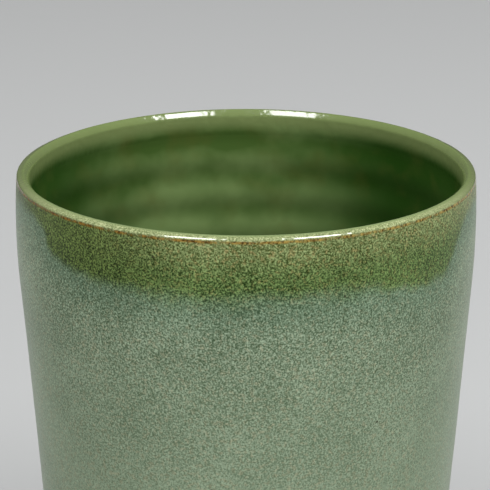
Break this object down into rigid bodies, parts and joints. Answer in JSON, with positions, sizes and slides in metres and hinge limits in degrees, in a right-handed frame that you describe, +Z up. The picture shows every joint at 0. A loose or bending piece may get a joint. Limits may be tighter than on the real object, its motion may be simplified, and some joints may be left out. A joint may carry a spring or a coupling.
{
  "type": "brush holder pot",
  "caption": "Tall open stoneware pot with thin glazed wall, rounded lip and turned foot ring, for standing brushes and pens in.",
  "frame": {"origin": "centre of the foot ring, on the table", "axes": "+Z up the pot's axis, from the foot to the open mouth"},
  "size_m": [0.1006, 0.1006, 0.12],
  "materials": {
    "stoneware": "bare fired stoneware, matte",
    "outer_glaze": "milky celadon, satin gloss",
    "rim_glaze": "olive green, gloss",
    "liner_glaze": "deep olive green, gloss",
    "foot_recess_glaze": "milky celadon, satin gloss"
  },
  "bodies": {
    "root": {"stoneware_body": "stoneware", "outer_glaze": "outer_glaze", "rim_glaze": "rim_glaze", "liner_glaze": "liner_glaze", "foot_recess_glaze": "foot_recess_glaze"}
  },
  "joints": []
}
